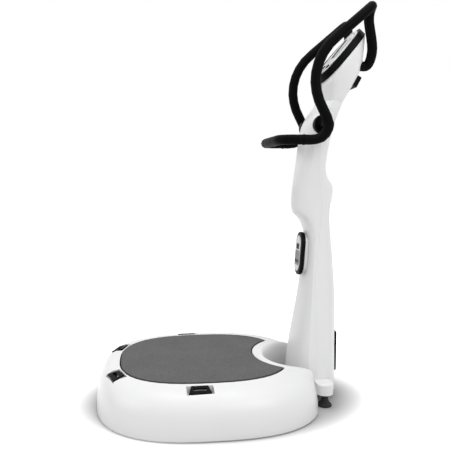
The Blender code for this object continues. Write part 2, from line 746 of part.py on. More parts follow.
def half_arc(half_width, split, reach, roundness, wall):
    """Half a superellipse from the parting line round the front or the rear and back to it."""
    sign = math.copysign(1.0, reach - split)
    depth = abs(reach - split)
    points = []
    for k in range(HALF_RING_POINTS):
        t = math.pi * k / (HALF_RING_POINTS - 1)
        c, s = math.cos(t), math.sin(t)
        x = (half_width - wall) * math.copysign(abs(c) ** (2 / roundness), c)
        y = split + sign * (SEAT_GAP / 2 + (depth - wall) * max(0.0, s) ** (2 / roundness))
        points.append((x, y))
    return points


def make_column():
    """Front and rear shells, parted at the crease on the column's side, and the mast inside."""
    for name, is_front in (("column_front_shell", True), ("column_rear_shell", False)):
        rings = []
        for z, front, split, rear, half_width, front_round, rear_round in column_sections():
            reach, roundness = (front, front_round) if is_front else (rear, rear_round)
            outer = half_arc(half_width, split, reach, roundness, 0.0)
            inner = half_arc(half_width, split, reach, roundness, SHELL_WALL)
            rings.append([(x, y, z) for x, y in outer + inner[::-1]])
        shell = add(name, loft(name, rings), WHITE, smooth=50.0)
        seat = box(f"cover_seat_{name}", (-COVER_HALF_WIDTH, COVER_FRONT_Y - RUN_GAP, 0.0),
                   (COVER_HALF_WIDTH, COVER_REAR_Y + RUN_GAP, COVER_TOP_Z + SEAT_GAP))
        boolean(shell, add_cutter(f"cover_seat_{name}", seat))
        for end, low, high in (("right", HUB_INNER_X, TUBE_X), ("left", -TUBE_X, -HUB_INNER_X)):
            hole_name = f"hub_hole_{end}_{name}"
            hub = cylinder(hole_name, HUB_RADIUS + SEAT_GAP, low, high, (HUB_Y, HUB_Z), "X", 32)
            boolean(shell, add_cutter(hole_name, hub))
    front = bpy.data.objects["column_front_shell"]
    boolean(front, bpy.data.objects["cradle_hole"])
    boolean(front, bpy.data.objects["conduit_hole"])
    rear = bpy.data.objects["column_rear_shell"]
    boolean(rear, bpy.data.objects["inlet_hole"])
    foot = FRAME_BOTTOM_Z + FRAME_THICKNESS + SEAT_GAP
    mast_rear = MAST_FRONT_Y + MAST_DEPTH
    mast_mesh = box("mast", (-MAST_HALF_WIDTH, MAST_FRONT_Y, foot), (MAST_HALF_WIDTH, mast_rear, MAST_TOP_Z))
    mast = add("mast", mast_mesh, STEEL)
    hollow = box("mast_bore", (-MAST_HALF_WIDTH + MAST_WALL, MAST_FRONT_Y + MAST_WALL, 0),
                 (MAST_HALF_WIDTH - MAST_WALL, mast_rear - MAST_WALL, MAST_TOP_Z + MAST_DEPTH))
    boolean(mast, add_cutter("mast_bore", hollow))
    low = MAST_TOP_Z + SEAT_GAP
    bracket = box("handle_bracket", (-HUB_INNER_X + SEAT_GAP, HUB_Y - BRACKET_DEPTH / 2, low),
                  (HUB_INNER_X - SEAT_GAP, HUB_Y + BRACKET_DEPTH / 2, low + BRACKET_HEIGHT))
    add("handle_bracket", bracket, STEEL)


def cover_rings(inset, bottom):
    """Rings of the foot bar cover, with a round edge at the top."""
    rings = []
    for k in range(COVER_EDGE_STEPS + 2):
        angle = math.pi / 2 * max(0, k - 1) / COVER_EDGE_STEPS
        level = bottom if k == 0 else COVER_TOP_Z - COVER_EDGE + (COVER_EDGE - inset) * math.sin(angle)
        edge = inset + (COVER_EDGE - inset) * (1.0 - math.cos(angle))
        plan = rounded_rectangle(COVER_HALF_WIDTH - edge, COVER_FRONT_Y + edge, COVER_REAR_Y - edge,
                                 COVER_CORNER - edge)
        rings.append([(x, y, level) for x, y in plan])
    return rings


def make_foot():
    """Steel foot bar, its white cover and the levelling feet."""
    top = COVER_TOP_Z - COVER_WALL - SEAT_GAP
    plan = rounded_rectangle(BAR_HALF_WIDTH, BAR_FRONT_Y, BAR_REAR_Y, BAR_CORNER)
    bar = add("foot_bar", prism("foot_bar", plan, top - BAR_HEIGHT, top), STEEL)
    mast_rear = MAST_FRONT_Y + MAST_DEPTH
    mast_hole = box("bar_mast_hole", (-MAST_HALF_WIDTH - SEAT_GAP, MAST_FRONT_Y - SEAT_GAP, 0),
                    (MAST_HALF_WIDTH + SEAT_GAP, mast_rear + SEAT_GAP, COVER_TOP_Z + COVER_WALL))
    hole = add_cutter("bar_mast_hole", mast_hole)
    boolean(bar, hole)
    cover = add("foot_bar_cover", loft("foot_bar_cover", cover_rings(0.0, COVER_BOTTOM_Z)), WHITE)
    boolean(cover, add_cutter("cover_cavity", loft("cover_cavity", cover_rings(COVER_WALL, 0.0))))
    boolean(cover, hole)
    for side, sign in (("right", 1), ("left", -1)):
        x = sign * LEVELLER_X
        stud_top = top - BAR_HEIGHT + STUD_DEPTH
        profile = [(0, stud_top), (STUD_RADIUS, stud_top), (STUD_RADIUS, LEVELLER_HEIGHT),
                   (LEVELLER_NECK, LEVELLER_HEIGHT), (LEVELLER_NECK, LEVELLER_HEIGHT / 2),
                   (LEVELLER_RADIUS, LEVELLER_HEIGHT / 4), (LEVELLER_RADIUS, 0), (0, 0)]
        foot = turned(f"levelling_foot_{side}", profile, RUBBER)
        foot.location = (x, LEVELLER_Y, 0)
        bore = cylinder(f"stud_bore_{side}", STUD_RADIUS + SEAT_GAP, COVER_BOTTOM_Z, stud_top + RUN_GAP,
                        (x, LEVELLER_Y))
        boolean(bar, add_cutter(f"stud_bore_{side}", bore))


def make_handle():
    """Front loop and two arms of the bent tube, with the hub cups and standoffs that carry them."""
    corner = []
    for k in range(CORNER_STEPS + 1):
        a = math.pi / 2 * k / CORNER_STEPS
        corner.append((TUBE_X - TUBE_CORNER + TUBE_CORNER * math.cos(a),
                       TUBE_FRONT_Y + TUBE_CORNER - TUBE_CORNER * math.sin(a), TUBE_RUN_Z))
    right = [(TUBE_X, TUBE_JOINT_Y - SEAT_GAP / 2, TUBE_RUN_Z)] + corner
    tube("handle_front", right + [(-x, y, z) for x, y, z in reversed(right)], TUBE_RADIUS, FOAM, 3)
    for side, sign in (("right", 1), ("left", -1)):
        start = (TUBE_X, TUBE_JOINT_Y + SEAT_GAP / 2, TUBE_RUN_Z)
        points = [start, *ARM_POINTS, *((LEG_END_X, y, LEG_END_Z) for y in LEG_END_Y)]
        path = smooth_path(points, ARM_STEPS)
        tube(f"handle_{side}", [(sign * p.x, p.y, p.z) for p in path], TUBE_RADIUS, FOAM, 3)
        axis = empty(f"hub_axis_{side}", (0, HUB_Y, HUB_Z), (0, sign * math.pi / 2, 0))
        floor = HUB_OUTER_X - HUB_DISH
        inside = HUB_RADIUS - HUB_RIM
        profile = [(0, floor), (inside - HUB_DISH / 2, floor), (inside, HUB_OUTER_X - 2 * HUB_EDGE),
                   (inside + HUB_EDGE, HUB_OUTER_X), (HUB_RADIUS, HUB_OUTER_X - HUB_EDGE),
                   (HUB_RADIUS, HUB_INNER_X), (0, HUB_INNER_X)]
        turned(f"hub_cup_{side}", profile, BLACK, axis, steps=24)
        low, high = floor + SEAT_GAP, TUBE_X - TUBE_RADIUS - SEAT_GAP
        low, high = (low, high) if sign > 0 else (-high, -low)
        standoff = cylinder(f"handle_standoff_{side}", STANDOFF_RADIUS, low, high, (STANDOFF_Y, HUB_Z), "X")
        add(f"handle_standoff_{side}", standoff, STEEL)


def console_outline(inset):
    """Plan of the console in its own plane: a superellipse."""
    middle, half = (CONSOLE_LOW + CONSOLE_HIGH) / 2, (CONSOLE_HIGH - CONSOLE_LOW) / 2
    points = []
    for k in range(CONSOLE_POINTS):
        t = 2 * math.pi * k / CONSOLE_POINTS
        c, s = math.cos(t), math.sin(t)
        points.append(((CONSOLE_HALF_WIDTH - inset) * math.copysign(abs(c) ** (2 / CONSOLE_ROUNDNESS), c),
                       middle + (half - inset) * math.copysign(abs(s) ** (2 / CONSOLE_ROUNDNESS), s)))
    return points


def head_ring(front, rear, half_width, roundness):
    """A tilted superellipse ring between a front and a rear point of the side view."""
    front, rear = Vector(front), Vector(rear)
    middle, half = (front + rear) / 2, (rear - front) / 2
    ring = []
    for k in range(CONSOLE_POINTS):
        t = 2 * math.pi * k / CONSOLE_POINTS
        c, s = math.cos(t), math.sin(t)
        place = middle + half * math.copysign(abs(s) ** (2 / roundness), s)
        ring.append((half_width * math.copysign(abs(c) ** (2 / roundness), c), place.x, place.y))
    return ring


def make_head():
    """White console housing with a cavity for the control board."""
    direction = Vector((math.cos(TILT), math.sin(TILT)))
    origin = Vector((CONSOLE_Y, CONSOLE_Z))
    low, high = origin + direction * CONSOLE_LOW, origin + direction * CONSOLE_HIGH
    rings = [head_ring(NECK_FRONT, NECK_REAR, NECK_HALF_WIDTH, CONSOLE_ROUNDNESS),
             head_ring(HEAD_FRONT, HEAD_REAR, HEAD_HALF_WIDTH, HEAD_ROUNDNESS),
             head_ring(CROWN_FRONT, CROWN_REAR, CROWN_HALF_WIDTH, HEAD_ROUNDNESS),
             head_ring(low, high, CONSOLE_HALF_WIDTH, CONSOLE_ROUNDNESS)]
    columns = [smooth_path(line, 2) for line in zip(*rings)]
    housing = add("console_housing", loft("console_housing", list(zip(*columns))), WHITE, smooth=50.0)
    plane = empty("console_plane", (0, CONSOLE_Y, CONSOLE_Z), (TILT, 0, 0))
    wide = box("board_cavity", (-CAVITY_HALF_WIDTH, CAVITY_LOW, -BOARD_DEPTH),
               (CAVITY_HALF_WIDTH, CAVITY_HIGH, BEZEL_HEIGHT))
    deep = box("head_cavity", (-CAVITY_HALF_WIDTH + BOARD_LEDGE, CAVITY_LOW + BOARD_LEDGE, -CAVITY_DEPTH),
               (CAVITY_HALF_WIDTH - BOARD_LEDGE, CAVITY_HIGH - BOARD_LEDGE, BEZEL_HEIGHT))
    for name, cavity in (("board_cavity", wide), ("head_cavity", deep)):
        boolean(housing, add_cutter(name, cavity, plane))
    board_low = SEAT_GAP - BOARD_DEPTH
    board = box("control_board", (-CAVITY_HALF_WIDTH + RUN_GAP, CAVITY_LOW + RUN_GAP, board_low),
                (CAVITY_HALF_WIDTH - RUN_GAP, CAVITY_HIGH - RUN_GAP, board_low + BOARD_THICKNESS))
    add("control_board", board, GREEN, plane)
    for side, sign in (("right", 1), ("left", -1)):
        socket = cylinder(f"leg_socket_{side}", TUBE_RADIUS + SEAT_GAP, LEG_END_Y[-1] - SEAT_GAP,
                          LEG_END_Y[0] + TUBE_RADIUS, (sign * LEG_END_X, LEG_END_Z), "Y", 32)
        boolean(housing, add_cutter(f"leg_socket_{side}", socket))
    make_service_cover(housing)
    make_console(plane)


def make_service_cover(housing):
    """Black cover let into the back of the head."""
    along = Vector(HEAD_REAR) - Vector(NECK_REAR)
    lean = math.atan2(along.x, along.y)
    back = empty("head_back", (0, *NECK_REAR), (-lean, 0, 0))
    low = (-SERVICE_HALF_WIDTH, -SERVICE_SUNK, SERVICE_LOW)
    high = (SERVICE_HALF_WIDTH, SERVICE_PROUD, SERVICE_HIGH)
    cover = add("head_service_cover", box("head_service_cover", low, high), BLACK, back)
    bevel(cover, SERVICE_EDGE)
    gap = Vector((SEAT_GAP, SEAT_GAP, SEAT_GAP))
    recess = box("service_recess", Vector(low) - gap, Vector(high) + gap)
    boolean(housing, add_cutter("service_recess", recess, back))


def crown(x, half_width):
    """Height of the arched console face above the console plane."""
    return FACE_EDGE_HEIGHT + FACE_CROWN * (1.0 - (x / half_width) ** 2)


def arched_slab(name, half_width, low, high, bottom, lift, arch_width, steps=8):
    """A slab with an arched top, extruded up the console plane."""
    outline = [(-half_width, bottom), (half_width, bottom)]
    for k in range(steps + 1):
        x = lerp(half_width, -half_width, k / steps)
        outline.append((x, crown(x, arch_width) + lift))
    rings = [[(x, level, z) for x, z in outline] for level in (low, high)]
    return loft(name, rings)


def make_console(plane):
    """Black bezel, arched silver face, screen and buttons, all in the console plane."""
    plan = console_outline(0.0)
    bezel = add("console_bezel", prism("console_bezel", plan, SEAT_GAP, BEZEL_HEIGHT), BLACK, plane)
    for name, inset, low in (("bezel_opening", BEZEL_RIM, LEDGE_HEIGHT),
                             ("bezel_throat", BEZEL_RIM + BEZEL_LEDGE, -LEDGE_HEIGHT)):
        boolean(bezel, add_cutter(name, prism(name, console_outline(inset), low, 2 * BEZEL_HEIGHT), plane))
    inset = BEZEL_RIM + RUN_GAP
    half = CONSOLE_HALF_WIDTH - inset
    low, high = CONSOLE_LOW + inset, CONSOLE_HIGH - inset
    face_bottom = LEDGE_HEIGHT + SEAT_GAP
    face_mesh = prism("console_face", console_outline(inset), face_bottom, 3 * BEZEL_HEIGHT)
    face = add("console_face", face_mesh, SILVER, plane)
    arch = arched_slab("face_arch", 2 * half, low - BEZEL_RIM, high + BEZEL_RIM, -BEZEL_HEIGHT, 0.0, half, 16)
    boolean(face, add_cutter("face_arch", arch, plane), "INTERSECT")
    pocket_floor = crown(SCREEN_HALF_WIDTH, half) - SCREEN_DEPTH
    pocket = box("screen_pocket", (-SCREEN_HALF_WIDTH - SEAT_GAP, SCREEN_LOW - SEAT_GAP, pocket_floor),
                 (SCREEN_HALF_WIDTH + SEAT_GAP, SCREEN_HIGH + SEAT_GAP, 2 * BEZEL_HEIGHT))
    boolean(face, add_cutter("screen_pocket", pocket, plane))
    screen = arched_slab("console_screen", SCREEN_HALF_WIDTH, SCREEN_LOW, SCREEN_HIGH,
                         pocket_floor + SEAT_GAP, SCREEN_PROUD, half)
    add("console_screen", screen, GLASS, plane)
    for k in range(BUTTON_COUNT):
        x = (k - (BUTTON_COUNT - 1) / 2) * BUTTON_PITCH
        top = crown(x, half) + BUTTON_PROUD
        make_button(f"console_button_{k + 1}", plane, (x, BUTTON_ROW), top, face_bottom, BUTTON_RADIUS, face)


def make_button(name, plane, place, top, underside, radius, carrier):
    """A push button held in its hole by a flange below the face."""
    flange_top = underside - SEAT_GAP
    flange_low = flange_top - BUTTON_FLANGE_HEIGHT
    profile = [(0, top), (radius - BUTTON_EDGE, top), (radius, top - BUTTON_EDGE), (radius, flange_top),
               (radius + BUTTON_FLANGE, flange_top), (radius + BUTTON_FLANGE, flange_low), (0, flange_low)]
    button = turned(name, profile, BLACK, plane)
    button.location = (*place, 0)
    hole = cylinder(f"{name}_hole", radius + RUN_GAP, flange_low, top + HOLE_OVERSHOOT, place)
    boolean(carrier, add_cutter(f"{name}_hole", hole, plane))


def remote_plan(inset):
    """Outline of the remote, drawn in all round by the inset."""
    half, tall = REMOTE_HALF_WIDTH - inset, REMOTE_HALF_HEIGHT - inset
    return rounded_rectangle(half, -tall, tall, REMOTE_CORNER - inset, REMOTE_CORNER_STEPS)


def make_remote():
    """The small oval control on the column's front: cradle, bezel, face and buttons."""
    turn = math.pi / 2 + REMOTE_TILT
    plane = empty("remote_plane", (0, REMOTE_Y, REMOTE_Z), (turn, 0, 0))
    bezel_mesh = prism("remote_bezel", remote_plan(0.0), -REMOTE_DEPTH, 0.0)
    bezel = add("remote_bezel", bezel_mesh, BLACK, plane)
    bevel(bezel, REMOTE_EDGE)
    floor = REMOTE_FLOOR - REMOTE_DEPTH
    opening = prism("remote_opening", remote_plan(REMOTE_RIM), floor, REMOTE_DEPTH)
    boolean(bezel, add_cutter("remote_opening", opening, plane))
    face_mesh = prism("remote_face", remote_plan(REMOTE_RIM + RUN_GAP), floor + SEAT_GAP, REMOTE_FACE_PROUD)
    face = add("remote_face", face_mesh, SILVER, plane)
    bevel(face, REMOTE_FACE_EDGE)
    face_low = floor + BUTTON_FLANGE_HEIGHT + REMOTE_TRAVEL
    well = prism("remote_well", remote_plan(REMOTE_RIM + REMOTE_WALL), -REMOTE_DEPTH, face_low)
    boolean(face, add_cutter("remote_well", well, plane))
    for k in range(REMOTE_BUTTON_COUNT):
        x = (k - (REMOTE_BUTTON_COUNT - 1) / 2) * REMOTE_BUTTON_PITCH
        make_button(f"remote_button_{k + 1}", plane, (x, -REMOTE_BUTTON_DROP),
                    REMOTE_FACE_PROUD + REMOTE_BUTTON_PROUD, face_low, REMOTE_BUTTON_RADIUS, face)
    front = -REMOTE_DEPTH - SEAT_GAP
    rear = front - CRADLE_DEPTH
    add("remote_cradle", prism("remote_cradle", remote_plan(CRADLE_INSET), rear, front), WHITE, plane)
    around = remote_plan(CRADLE_INSET - SEAT_GAP)
    add_cutter("cradle_hole", prism("cradle_hole", around, rear - HOLE_OVERSHOOT, front), plane)


def make_rear():
    """Inlet panel with socket and rocker switch, and the motor controller."""
    panel_rear = STATIONS[2][3] + INLET_PROUD
    panel_front = panel_rear - INLET_DEPTH
    outline = rounded_rectangle(INLET_HALF_WIDTH, INLET_LOW_Z, INLET_HIGH_Z, INLET_CORNER, 3)
    panel_mesh = loft("inlet_panel", [[(x, y, z) for x, z in outline] for y in (panel_front, panel_rear)])
    panel = add("inlet_panel", panel_mesh, BLACK)
    gap = SEAT_GAP
    around = rounded_rectangle(INLET_HALF_WIDTH + gap, INLET_LOW_Z - gap, INLET_HIGH_Z + gap, INLET_CORNER, 3)
    reach = (panel_front - HOLE_OVERSHOOT, panel_rear + HOLE_OVERSHOOT)
    hole = loft("inlet_hole", [[(x, y, z) for x, z in around] for y in reach])
    add_cutter("inlet_hole", hole)
    low_z, high_z = SOCKET_Z - SOCKET_HALF_HEIGHT, SOCKET_Z + SOCKET_HALF_HEIGHT
    well = box("socket_well", (-SOCKET_HALF_WIDTH - gap, panel_rear - SOCKET_DEPTH - gap, low_z - gap),
               (SOCKET_HALF_WIDTH + gap, panel_rear + SOCKET_DEPTH, high_z + gap))
    boolean(panel, add_cutter("socket_well", well))
    socket = box("power_socket", (-SOCKET_HALF_WIDTH, panel_rear - SOCKET_DEPTH, low_z),
                 (SOCKET_HALF_WIDTH, panel_rear + SOCKET_WALL / 2, high_z))
    socket = add("power_socket", socket, RUBBER)
    mouth_half = SOCKET_HALF_WIDTH - SOCKET_WALL
    mouth = box("socket_mouth", (-mouth_half, panel_rear - SOCKET_DEPTH + SOCKET_WALL, low_z + SOCKET_WALL),
                (mouth_half, panel_rear + SOCKET_DEPTH, high_z - SOCKET_WALL))
    boolean(socket, add_cutter("socket_mouth", mouth))
    make_switch(panel, panel_rear)
    low = MAST_FRONT_Y + MAST_DEPTH + SEAT_GAP
    controller = box("motor_controller", (-CONTROLLER_HALF_WIDTH, low, CONTROLLER_LOW_Z),
                     (CONTROLLER_HALF_WIDTH, low + CONTROLLER_DEPTH, CONTROLLER_HIGH_Z))
    bevel(add("motor_controller", controller, BLACK), CONTROLLER_EDGE)


def make_switch(panel, panel_rear):
    """A rocker on a cross axis, tipped to its off side at rest."""
    pivot = empty("switch_pivot", (0, panel_rear - SWITCH_SINK, SWITCH_Z), (SWITCH_TILT, 0, 0))
    outline = [(-SWITCH_HALF_HEIGHT, SWITCH_CREST), (0.0, SWITCH_DIP), (SWITCH_HALF_HEIGHT, SWITCH_CREST),
               (SWITCH_HALF_HEIGHT, -SWITCH_SIDE), (SWITCH_KEEL, -SWITCH_BELLY),
               (-SWITCH_KEEL, -SWITCH_BELLY), (-SWITCH_HALF_HEIGHT, -SWITCH_SIDE)]
    mesh = prism("power_switch", [(y, z) for z, y in outline], -SWITCH_HALF_WIDTH, SWITCH_HALF_WIDTH, "X")
    add("power_switch", mesh, RUBBER, pivot)
    clear = RUN_GAP * 2
    half_width, half_height = SWITCH_HALF_WIDTH + clear, SWITCH_HALF_HEIGHT + clear
    well = box("switch_well", (-half_width, panel_rear - SWITCH_DEPTH, SWITCH_Z - half_height),
               (half_width, panel_rear + SWITCH_DEPTH, SWITCH_Z + half_height))
    boolean(panel, add_cutter("switch_well", well))


make_base()
make_frame()
make_platform()
make_remote()
make_rear()
make_column()
make_foot()
make_handle()
make_head()
bpy.context.view_layer.update()
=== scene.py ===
"""Looks of the vibration plate: materials, small trim, studio floor, lights and the camera.

Metres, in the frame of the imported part: +Z up, the user stands at -Y and faces the column at +Y.
"""
import json
import math

import bmesh
import bpy
from mathutils import Matrix, Vector


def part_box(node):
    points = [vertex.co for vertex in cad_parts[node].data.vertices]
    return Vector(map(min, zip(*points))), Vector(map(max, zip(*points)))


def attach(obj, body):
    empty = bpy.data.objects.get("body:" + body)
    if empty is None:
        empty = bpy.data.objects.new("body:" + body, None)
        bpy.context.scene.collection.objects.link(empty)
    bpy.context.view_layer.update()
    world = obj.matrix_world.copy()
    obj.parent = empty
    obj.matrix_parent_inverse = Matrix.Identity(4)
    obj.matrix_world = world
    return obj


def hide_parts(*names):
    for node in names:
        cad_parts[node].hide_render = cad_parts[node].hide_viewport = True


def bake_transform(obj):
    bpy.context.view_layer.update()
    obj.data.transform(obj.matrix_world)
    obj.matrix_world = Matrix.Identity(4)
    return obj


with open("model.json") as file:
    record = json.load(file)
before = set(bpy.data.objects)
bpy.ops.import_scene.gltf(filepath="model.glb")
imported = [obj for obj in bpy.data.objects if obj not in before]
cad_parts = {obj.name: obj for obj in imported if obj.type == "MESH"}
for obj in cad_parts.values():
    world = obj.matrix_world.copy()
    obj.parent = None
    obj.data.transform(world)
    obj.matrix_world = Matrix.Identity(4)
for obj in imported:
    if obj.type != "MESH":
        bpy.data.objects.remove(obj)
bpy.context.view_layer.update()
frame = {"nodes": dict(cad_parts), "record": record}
NODES = frame["nodes"]
ROOT = "machine"
AXIS_X, AXIS_Y, AXIS_Z = Vector((1, 0, 0)), Vector((0, 1, 0)), Vector((0, 0, 1))

# Camera of the photograph
CAMERA_PLACE = (2.24238, -0.31995, 0.87)
CAMERA_HEADING = math.radians(82.627)
CAMERA_PITCH = math.radians(5.080)
CAMERA_LENS = 46.8
CAMERA_SENSOR = 36.0

# Console face, a superellipse on the tilted console plane
CONSOLE_PLACE = (0.0, 0.3142, 1.1789)
CONSOLE_TILT = math.radians(49.9)
FACE_LOW = 0.0584
FACE_HIGH = 0.2794
FACE_HALF_WIDTH = 0.1054
FACE_ROUNDNESS = 2.6
FACE_EDGE_HEIGHT = 0.022
FACE_CROWN = 0.011
TRIM_INSET = 0.012
TRIM_RADIUS = 0.0011
TRIM_POINTS = 72
TRIM_SIDES = 8
TRIM_STEP_AHEAD = 0.01

# Remote face, with its plates as half width, low edge, high edge and corner
REMOTE_PLACE = (0.0, 0.262, 0.554)
REMOTE_TURN = math.radians(86)
REMOTE_FACE_HEIGHT = 0.003
REMOTE_BUTTONS = ((-0.019, -0.030), (0.0, -0.030), (0.019, -0.030))
REMOTE_BUTTON_HOLE = 0.0077
REMOTE_WINDOW = (0.018, 0.017, 0.039, 0.003)
REMOTE_KEYPAD = (0.0305, -0.046, 0.012, 0.008)
PLATE_THICKNESS = 0.0008
PLATE_PROUD = 0.0005

# Cover that thickens the handle tube, and collars over its joints
GRIP_THICKNESS = 0.0019
COLLAR_PLACE = (0.168, 0.235, 0.990)
COLLAR_RADIUS = 0.0172 + GRIP_THICKNESS
COLLAR_PROUD = 0.0007
COLLAR_WIDTH = 0.007
COLLAR_EDGE = 0.001
COLLAR_SIDES = 32

# Screws of the inlet panel and pins of the socket; the dome is given as height and width shares
PANEL_REAR_Y = 0.408
SCREW_MARGIN = 0.008
SCREW_RADIUS = 0.0035
SCREW_HEIGHT = 0.0012
SCREW_DOME = ((0.0, 1.0), (0.6, 0.95), (0.9, 0.7), (1.0, 0.42))
SCREW_SIDES = 16
SLOT_FLOOR = 0.35
SLOT_LONG = 0.38
SLOT_SHORT = 0.16
PIN_PLACES = ((-0.007, -0.003), (0.007, -0.003), (0.0, 0.004))
PIN_SIZE = (0.001, 0.002)
PIN_FOOT = 0.003
PIN_PROFILE = ((0.0, 1.0), (0.011, 1.0), (0.013, 0.5))

# Rubber mounts between the frame and the deck
MOUNT_RADIUS = 0.024
MOUNT_WAIST = 0.017
MOUNT_PAD = 0.021
MOUNT_LIP = 0.0012
MOUNT_SIDES = 24
MOUNT_STEPS = 8

# Levelling feet, as heights and radii of the flared rubber, and the radius of the stud above it
FOOT_FLARE = ((0.0, 0.0258), (0.0015, 0.0272), (0.005, 0.0272), (0.009, 0.0245), (0.015, 0.0188),
              (0.022, 0.0148), (0.030, 0.0130), (0.049, 0.0126))
FOOT_SIDES = 32
STUD_RADIUS = 0.0058

# Shading: folds above these angles stay sharp
SMOOTH_ANGLE = math.radians(42)
CREASE_ANGLE = math.radians(27)
TRIM_ANGLE = math.radians(40)
CREASED = ("column_front_shell", "column_rear_shell")
WELD = 0.00001
PLATE_WELD = 0.000001

# Noise in the materials: its detail, the span of it that is used and the strength of a fine grain;
# patches of gloss are finer than the clouds of colour by PATCH_RATIO
CLOUD_DETAIL = 4.0
PATCH_RATIO = 5
GRAIN_DETAIL = 2.0
NOISE_SPAN = (0.3, 0.7)
GRAIN_STRENGTH = 0.35

# Standing mat
MAT_DARK = (0.077, 0.077, 0.078)
MAT_LIGHT = (0.104, 0.104, 0.105)
# Painted shade on the mat's rolled edge: this colour is used where the faces turn away from straight up
MAT_EDGE_SHADE = (0.030, 0.030, 0.032)
MAT_CELL_DARK = (0.72, 0.72, 0.72)
MAT_CELL_SHARE = 0.5
MAT_CELL_SPAN = (0.0, 0.6)
MAT_CLOUDS = 7.0
MAT_CLOUD_DETAIL = 5.0
MAT_GRIT = 190.0
MAT_GRIT_SPAN = (0.4, 0.6)
MAT_PEBBLES = 260.0
MAT_PEBBLE_STRENGTH = 0.5
MAT_PEBBLE_DEPTH = 0.0009
MAT_ROUGHNESS = (0.72, 0.86)
MAT_TOP_FACING = (0.80, 0.97)

# Console display
SCREEN_CELLS = 60.0
SCREEN_CELL_COLOURS = ((0.27, 0.29, 0.27), (0.30, 0.32, 0.30))
SCREEN_LINE_COLOUR = (0.22, 0.24, 0.22)
SCREEN_LINE_WIDTH = 0.03
SCREEN_ROUGHNESS = (0.06, 0.16)
SCREEN_SMEARS = 30.0
SCREEN_COAT = 0.6

# Floor: darker paint in an oval round the base, where the shadow lies, and white beyond it
FLOOR_HALF = 14.0
FLOOR_NEAR = (0.5, 0.5, 0.5)
FLOOR_FAR = (0.86, 0.86, 0.86)
FLOOR_GLOW = (0.8, 0.8, 0.8)
SHADOW_PLACE = (0.05, -0.05, 0.0)
SHADOW_OVAL = (0.4, 0.54, 1.0)
SHADOW_FADE = (0.8, 1.25)

# Background, and lamps with their place, target, size and watts
WORLD_FILL = 0.43
LAMPS = (
    ("key", (1.9, 1.2, 2.4), (0, 0.3, 0.9), (1.4, 1.2), 28.5),
    ("front_fill", (0.6, -3.4, 2.0), (0, 0, 0.9), (2.0, 2.0), 31.0),
    ("top", (0.0, 0.0, 3.6), (0, 0, 0), (2.6, 2.6), 54.0),
)


def shader_graph(name):
    """A new node material; gives back the material, its nodes, links, shader and object coordinates."""
    mat = bpy.data.materials.new(name)
    mat.use_nodes = True
    nodes, links = mat.node_tree.nodes, mat.node_tree.links
    coords = nodes.new("ShaderNodeTexCoord")
    return mat, nodes, links, nodes["Principled BSDF"], coords.outputs["Object"]


def noise(nodes, links, coords, scale, detail=3.0, stretch=None):
    """Fac output of a noise texture in object space."""
    texture = nodes.new("ShaderNodeTexNoise")
    texture.inputs["Scale"].default_value = scale
    texture.inputs["Detail"].default_value = detail
    if stretch is None:
        links.new(coords, texture.inputs["Vector"])
    else:
        mapping = nodes.new("ShaderNodeMapping")
        mapping.inputs["Scale"].default_value = stretch
        links.new(coords, mapping.inputs["Vector"])
        links.new(mapping.outputs["Vector"], texture.inputs["Vector"])
    return texture.outputs["Fac"]


def ramp(nodes, links, fac, low, high, start=0.35, end=0.65):
    """Colour that runs from low to high over a stretch of the factor."""
    node = nodes.new("ShaderNodeValToRGB")
    node.color_ramp.elements[0].position = start
    node.color_ramp.elements[0].color = (*low, 1.0)
    node.color_ramp.elements[1].position = end
    node.color_ramp.elements[1].color = (*high, 1.0)
    links.new(fac, node.inputs["Fac"])
    return node.outputs["Color"]


def spread(nodes, links, fac, low, high):
    """Map a noise factor to a range of values."""
    node = nodes.new("ShaderNodeMapRange")
    node.inputs["From Min"].default_value, node.inputs["From Max"].default_value = NOISE_SPAN
    node.inputs["To Min"].default_value = low
    node.inputs["To Max"].default_value = high
    links.new(fac, node.inputs["Value"])
    return node.outputs["Result"]


def bump(nodes, links, height, strength, distance):
    node = nodes.new("ShaderNodeBump")
    node.inputs["Strength"].default_value = strength
    node.inputs["Distance"].default_value = distance
    links.new(height, node.inputs["Height"])
    return node.outputs["Normal"]


def mix(nodes, blend_type="MIX"):
    """A colour mix node."""
    node = nodes.new("ShaderNodeMix")
    node.data_type = "RGBA"
    node.blend_type = blend_type
    return node


def darker(colour, share):
    return tuple(c * share for c in colour)


def moulded(name, colour, vary, rough, grain, depth, metallic=0.0, cloud=6.0, stretch=None, specular=0.5):
    """Plastic, paint or metal: clouded colour, uneven gloss and a fine grain."""
    mat, nodes, links, shader, coords = shader_graph(name)
    clouds = noise(nodes, links, coords, cloud, CLOUD_DETAIL)
    links.new(ramp(nodes, links, clouds, darker(colour, vary), colour), shader.inputs["Base Color"])
    patches = noise(nodes, links, coords, cloud * PATCH_RATIO)
    links.new(spread(nodes, links, patches, *rough), shader.inputs["Roughness"])
    fine = noise(nodes, links, coords, grain, GRAIN_DETAIL, stretch)
    links.new(bump(nodes, links, fine, GRAIN_STRENGTH, depth), shader.inputs["Normal"])
    shader.inputs["Metallic"].default_value = metallic
    shader.inputs["Specular IOR Level"].default_value = specular
    return mat


